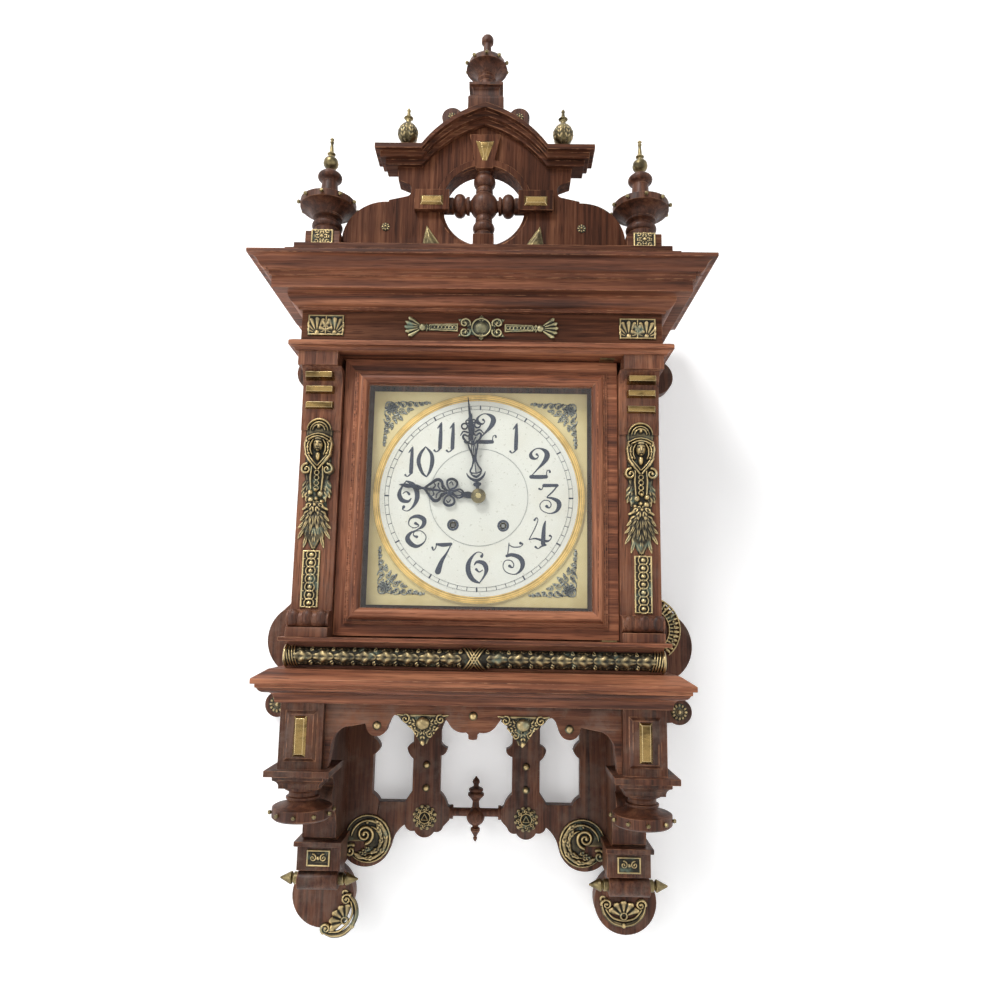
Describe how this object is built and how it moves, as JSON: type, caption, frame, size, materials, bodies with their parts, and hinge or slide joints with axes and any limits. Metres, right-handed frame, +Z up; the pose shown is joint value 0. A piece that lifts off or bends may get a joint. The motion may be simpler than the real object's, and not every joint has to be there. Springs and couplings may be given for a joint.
{
  "type": "wall clock",
  "caption": "Walnut wall clock with carved case, pilasters, pediment crown, glazed hinged door, square dial with pierced hands, spring movement and pendulum.",
  "frame": {"origin": "centre of the eye of the hanger plate, in the wall plane behind the clock", "axes": "+X to the viewer's right, +Y into the wall, +Z up; the dial faces -Y"},
  "size_m": [0.4904, 0.2025, 0.9893],
  "materials": {
    "walnut": "french polish, worn pale at the edges",
    "plain_walnut": "thin polish, dusty",
    "aged_brass": "cast, tarnished greenish brown, bright on the high points",
    "amber_brass": "faceted, lacquered",
    "gilt_brass": "brushed and lacquered",
    "silvered_dial": "silvered, satin",
    "blued_steel": "blued",
    "movement_brass": "polished",
    "steel": "polished",
    "door_glass": "clear"
  },
  "bodies": {
    "case": {"backboard": "plain_walnut", "lattice_panel": "plain_walnut", "side_panel_right": "plain_walnut", "side_panel_left": "plain_walnut", "base_frame": "walnut", "frieze_moulding": "walnut", "frieze": "walnut", "main_cornice": "walnut", "pilaster_right": "walnut", "pilaster_left": "walnut", "base_shelf": "walnut", "apron": "walnut", "corner_post_right": "walnut", "corner_post_left": "walnut", "pendant_right": "walnut", "pendant_left": "walnut", "bracket_right": "walnut", "bracket_left": "walnut", "lattice_spindle": "walnut", "crown_plinth": "walnut", "pediment_board": "walnut", "pediment_cornice": "walnut", "pediment_blocks": "walnut", "pediment_cross": "walnut", "crown_finial": "walnut", "side_finials": "walnut", "dial_board": "plain_walnut", "seat_board": "plain_walnut", "brass_finials": "aged_brass", "brass_beads": "aged_brass", "garland_rail": "aged_brass", "pilaster_mounts": "aged_brass", "case_mounts": "aged_brass", "rosettes_and_studs": "aged_brass", "faceted_bars": "amber_brass", "dial_plate": "gilt_brass", "dial_disc": "silvered_dial", "front_plate": "movement_brass", "back_plate": "movement_brass", "hanger_plate": "steel", "gong": "steel"},
    "door": {"door_frame": "walnut", "door_glass": "door_glass", "glass_bead": "walnut", "door_hinges": "movement_brass"},
    "minute_work": {"minute_hand": "blued_steel", "hand_nut": "movement_brass", "centre_arbor": "movement_brass"},
    "hour_work": {"hour_hand": "blued_steel", "hour_wheel": "movement_brass"},
    "motion_wheel": {"minute_wheel": "movement_brass"},
    "going_barrel_body": {"going_barrel": "movement_brass"},
    "strike_barrel_body": {"strike_barrel": "movement_brass"},
    "going_arbor_body": {"going_arbor": "steel"},
    "strike_arbor_body": {"strike_arbor": "steel"},
    "escape_body": {"escape_wheel": "movement_brass"},
    "anchor_body": {"pallet_anchor": "steel"},
    "pendulum_body": {"pendulum": "movement_brass"},
    "hammer_body": {"hammer": "steel"},
    "loose_mount": {"loose_shell_mount": "aged_brass"}
  },
  "joints": [
    {"name": "door_hinge", "type": "hinge", "parent": "case", "child": "door", "pos_m": [0.133, -0.147, -0.198], "axis": [0, 0, 1], "range_deg": [0, 110]},
    {"name": "minute_hand_turn", "type": "hinge", "parent": "case", "child": "minute_work", "pos_m": [0, -0.12, -0.198], "axis": [0, 1, 0], "continuous": true},
    {"name": "hour_hand_turn", "type": "hinge", "parent": "case", "child": "hour_work", "pos_m": [0, -0.12, -0.198], "axis": [0, 1, 0], "continuous": true},
    {"name": "minute_wheel_turn", "type": "hinge", "parent": "case", "child": "motion_wheel", "pos_m": [0.0144, -0.107, -0.198], "axis": [0, 1, 0], "continuous": true},
    {"name": "going_barrel_turn", "type": "hinge", "parent": "case", "child": "going_barrel_body", "pos_m": [0.0259, -0.082, -0.2276], "axis": [0, 1, 0], "continuous": true},
    {"name": "strike_barrel_turn", "type": "hinge", "parent": "case", "child": "strike_barrel_body", "pos_m": [-0.0259, -0.082, -0.2276], "axis": [0, 1, 0], "continuous": true},
    {"name": "going_winding", "type": "hinge", "parent": "case", "child": "going_arbor_body", "pos_m": [0.0259, -0.102, -0.2276], "axis": [0, 1, 0], "continuous": true},
    {"name": "strike_winding", "type": "hinge", "parent": "case", "child": "strike_arbor_body", "pos_m": [-0.0259, -0.102, -0.2276], "axis": [0, 1, 0], "continuous": true},
    {"name": "escape_turn", "type": "hinge", "parent": "case", "child": "escape_body", "pos_m": [0, -0.08, -0.161], "axis": [0, 1, 0], "continuous": true},
    {"name": "anchor_rock", "type": "hinge", "parent": "case", "child": "anchor_body", "pos_m": [0, -0.08, -0.145], "axis": [0, 1, 0], "range_deg": [-6, 6]},
    {"name": "pendulum_swing", "type": "hinge", "parent": "case", "child": "pendulum_body", "pos_m": [0, -0.0455, -0.145], "axis": [0, 1, 0], "range_deg": [-6, 6]},
    {"name": "hammer_lift", "type": "hinge", "parent": "case", "child": "hammer_body", "pos_m": [0.05, -0.07, -0.155], "axis": [0, 1, 0], "range_deg": [-25, 0]},
    {"name": "loose_mount_swing", "type": "hinge", "parent": "case", "child": "loose_mount", "pos_m": [-0.1413, -0.02, -0.6227], "axis": [0, 1, 0], "range_deg": [-25, 54.9]}
  ],
  "couplings": [
    {"joint": "minute_wheel_turn", "follows": "minute_hand_turn", "ratio": -0.33333},
    {"joint": "hour_hand_turn", "follows": "minute_hand_turn", "ratio": 0.083333},
    {"joint": "anchor_rock", "follows": "pendulum_swing", "ratio": 1}
  ]
}
